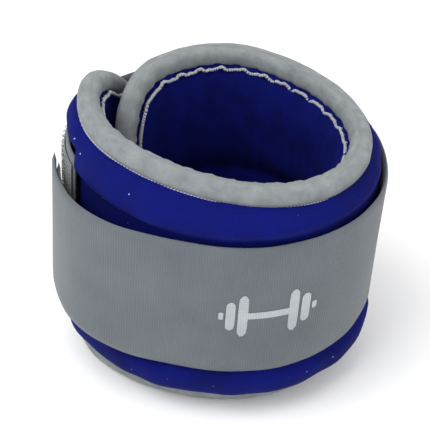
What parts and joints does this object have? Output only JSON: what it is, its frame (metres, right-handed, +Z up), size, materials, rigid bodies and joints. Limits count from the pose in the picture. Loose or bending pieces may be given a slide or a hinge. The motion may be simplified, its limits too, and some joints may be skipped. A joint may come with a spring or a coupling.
{
  "type": "ankle cuff weight",
  "caption": "Padded fabric ankle weight wrapped into a ring, with a hook-and-loop strap and grey edge binding; unrolls flat along its creases.",
  "frame": {"origin": "centre of the bounding box at the lower edge the fastened weight stands on", "axes": "+Z up through the ankle opening, -Y towards the side with the strap end and the front of the leg, +X right as seen from the front"},
  "size_m": [0.1112, 0.097, 0.0966],
  "materials": {
    "cover_fabric": "matte",
    "lining_fabric": "matte",
    "binding_knit": "matte",
    "webbing": "satin",
    "weight_fill": "matte",
    "hook_tape": "matte",
    "loop_tape": "matte",
    "thread": "matte"
  },
  "bodies": {
    "band_inner_end": {"edge_binding_inner_end": "binding_knit", "inner_lining_inner_end": "lining_fabric", "lower_weight_bag_inner_end": "weight_fill", "outer_cover_inner_end": "cover_fabric", "upper_weight_bag_inner_end": "weight_fill"},
    "band_back": {"inner_lining_back": "lining_fabric", "lower_edge_binding_back": "binding_knit", "lower_weight_bag_back": "weight_fill", "outer_cover_back": "cover_fabric", "upper_edge_binding_back": "binding_knit", "upper_weight_bag_back": "weight_fill"},
    "band_right": {"inner_lining_right": "lining_fabric", "lower_edge_binding_right": "binding_knit", "lower_weight_bag_right": "weight_fill", "outer_cover_right": "cover_fabric", "upper_edge_binding_right": "binding_knit", "upper_weight_bag_right": "weight_fill"},
    "band_waist": {"inner_lining_waist": "lining_fabric", "lower_edge_binding_waist": "binding_knit", "lower_weight_bag_waist": "weight_fill", "outer_cover_waist": "cover_fabric", "upper_edge_binding_waist": "binding_knit", "upper_weight_bag_waist": "weight_fill"},
    "band_front": {"inner_lining_front": "lining_fabric", "lower_edge_binding_front": "binding_knit", "lower_weight_bag_front": "weight_fill", "outer_cover_front": "cover_fabric", "upper_edge_binding_front": "binding_knit", "upper_weight_bag_front": "weight_fill"},
    "band_left": {"hook_tape_left": "hook_tape", "inner_lining_left": "lining_fabric", "lower_edge_binding_left": "binding_knit", "lower_weight_bag_left": "weight_fill", "outer_cover_left": "cover_fabric", "sewn_strap_left": "webbing", "upper_edge_binding_left": "binding_knit", "upper_weight_bag_left": "weight_fill", "strap_box_stitch": "thread"},
    "band_outer_end": {"edge_binding_outer_end": "binding_knit", "hook_tape_outer_end": "hook_tape", "inner_lining_outer_end": "lining_fabric", "lower_weight_bag_outer_end": "weight_fill", "outer_cover_outer_end": "cover_fabric", "sewn_strap_outer_end": "webbing", "upper_weight_bag_outer_end": "weight_fill"},
    "strap_back": {"strap_back": "webbing"},
    "strap_right": {"strap_right": "webbing"},
    "strap_waist": {"strap_waist": "webbing"},
    "strap_front": {"strap_front": "webbing"},
    "strap_tip": {"strap_tip": "webbing", "loop_tape": "loop_tape"}
  },
  "joints": [
    {"name": "crease_band_inner_end", "type": "hinge", "parent": "band_back", "child": "band_inner_end", "pos_m": [-0.02622, 0.02619, 0.04794], "axis": [-0.0621, 0.0388, -0.9973], "range_deg": [0, 63.3]},
    {"name": "crease_band_back", "type": "hinge", "parent": "band_right", "child": "band_back", "pos_m": [0.01827, 0.04122, 0.04575], "axis": [-0.0621, 0.0388, -0.9973], "range_deg": [0, 70.07]},
    {"name": "crease_band_right", "type": "hinge", "parent": "band_waist", "child": "band_right", "pos_m": [0.05119, 0.00146, 0.04215], "axis": [-0.0621, 0.0388, -0.9973], "range_deg": [0, 75.63]},
    {"name": "unroll", "type": "hinge", "parent": "band_waist", "child": "band_front", "pos_m": [0.02193, -0.04263, 0.04226], "axis": [0.0621, -0.0388, 0.9973], "range_deg": [0, 67.83]},
    {"name": "crease_band_left", "type": "hinge", "parent": "band_front", "child": "band_left", "pos_m": [-0.02811, -0.03267, 0.04576], "axis": [0.0621, -0.0388, 0.9973], "range_deg": [0, 57.47]},
    {"name": "crease_band_outer_end", "type": "hinge", "parent": "band_left", "child": "band_outer_end", "pos_m": [-0.04433, 0.01888, 0.04878], "axis": [0.0621, -0.0388, 0.9973], "range_deg": [0, 81.57]},
    {"name": "crease_strap_back", "type": "hinge", "parent": "band_outer_end", "child": "strap_back", "pos_m": [0.00019, 0.04759, 0.04713], "axis": [0.0621, -0.0388, 0.9973], "range_deg": [0, 67.91]},
    {"name": "crease_strap_right", "type": "hinge", "parent": "strap_back", "child": "strap_right", "pos_m": [0.04359, 0.02585, 0.04358], "axis": [0.0621, -0.0388, 0.9973], "range_deg": [0, 72.95]},
    {"name": "crease_strap_waist", "type": "hinge", "parent": "strap_right", "child": "strap_waist", "pos_m": [0.04809, -0.02416, 0.04135], "axis": [0.0621, -0.0388, 0.9973], "range_deg": [0, 87.55]},
    {"name": "crease_strap_front", "type": "hinge", "parent": "strap_waist", "child": "strap_front", "pos_m": [0.00407, -0.04731, 0.04319], "axis": [0.0621, -0.0388, 0.9973], "range_deg": [0, 53.64]},
    {"name": "crease_strap_tip", "type": "hinge", "parent": "strap_front", "child": "strap_tip", "pos_m": [-0.04401, -0.02801, 0.04694], "axis": [0.0621, -0.0388, 0.9973], "range_deg": [0, 87.78]}
  ],
  "couplings": [
    {"joint": "crease_band_inner_end", "follows": "unroll", "ratio": 0.93316},
    {"joint": "crease_band_back", "follows": "unroll", "ratio": 1.033},
    {"joint": "crease_band_right", "follows": "unroll", "ratio": 1.1149},
    {"joint": "crease_band_left", "follows": "unroll", "ratio": 0.8472},
    {"joint": "crease_band_outer_end", "follows": "unroll", "ratio": 1.2025},
    {"joint": "crease_strap_back", "follows": "unroll", "ratio": 1.0012},
    {"joint": "crease_strap_right", "follows": "unroll", "ratio": 1.0755},
    {"joint": "crease_strap_waist", "follows": "unroll", "ratio": 1.2907},
    {"joint": "crease_strap_front", "follows": "unroll", "ratio": 0.7908},
    {"joint": "crease_strap_tip", "follows": "unroll", "ratio": 1.2941}
  ]
}
